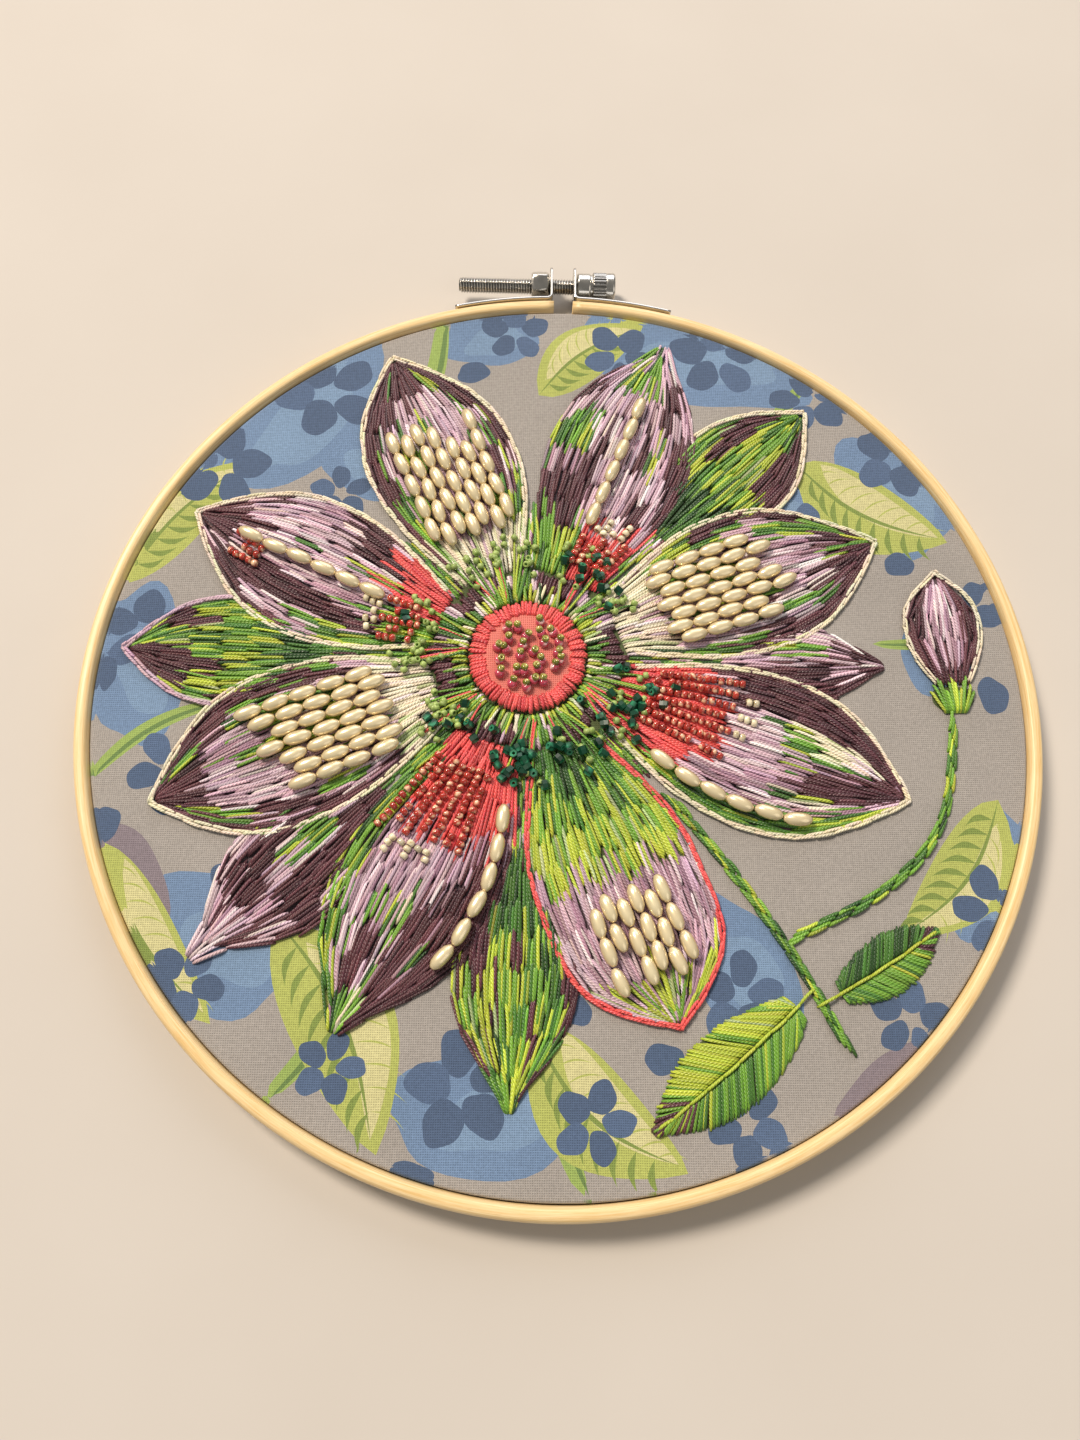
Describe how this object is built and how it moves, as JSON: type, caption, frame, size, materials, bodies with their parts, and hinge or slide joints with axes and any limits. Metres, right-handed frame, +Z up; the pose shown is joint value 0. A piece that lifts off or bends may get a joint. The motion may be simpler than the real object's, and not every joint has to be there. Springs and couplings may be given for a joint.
{
  "type": "embroidery hoop art with cloth in hoop",
  "caption": "Round wooden embroidery hoop with a thumb screw, holding a printed cotton cloth stitched with a large beaded bloom.",
  "frame": {"origin": "centre of the bounding box at the floor, under the hoop lying on its back", "axes": "+Z up out of the stitched face, +Y from the rings' centre towards the thumb screw, +X to the right of the stitched face"},
  "size_m": [0.212, 0.2232, 0.0124],
  "materials": {
    "beech": "pale, sanded smooth",
    "nickel": "nickel-plated steel, slightly dull",
    "cotton": "printed plain-weave cotton",
    "lilac_thread": "stranded cotton, soft sheen",
    "aubergine_thread": "stranded cotton, soft sheen",
    "pink_thread": "stranded cotton, soft sheen",
    "green_thread": "stranded cotton, soft sheen",
    "lime_thread": "stranded cotton, soft sheen",
    "coral_thread": "stranded cotton, soft sheen",
    "pearl": "pearlised coating",
    "seed_bead": "colour-lined glass"
  },
  "bodies": {
    "hoop": {"outer_ring": "beech", "inner_ring": "beech", "cloth": "cotton", "plate_left": "nickel", "plate_right": "nickel", "nut": "nickel", "back_petal_1": "green_thread", "back_petal_2": "aubergine_thread", "back_petal_3": "green_thread", "back_petal_4": "aubergine_thread", "back_petal_5": "green_thread", "bud": "lilac_thread", "bud_cup": "green_thread", "button": "coral_thread", "cup_ring": "aubergine_thread", "leaf_1": "green_thread", "leaf_2": "green_thread", "pearls_1": "pearl", "pearls_2": "pearl", "pearls_3": "pearl", "pearls_4": "pearl", "pearls_5": "pearl", "pearls_6": "pearl", "pearls_7": "pearl", "pearls_8": "pearl", "petal_1": "lilac_thread", "petal_2": "aubergine_thread", "petal_3": "lilac_thread", "petal_4": "pink_thread", "petal_5": "lime_thread", "petal_6": "pink_thread", "petal_7": "lilac_thread", "petal_8": "aubergine_thread", "seed_rows_4": "seed_bead", "seed_rows_6": "seed_bead", "stem_bud": "green_thread", "stem_main": "green_thread"},
    "screw": {"screw": "nickel"}
  },
  "joints": [
    {"name": "screw_turn", "type": "hinge", "parent": "hoop", "child": "screw", "pos_m": [0, 0.10745, 0.0045], "axis": [1, 0, 0], "continuous": true}
  ]
}
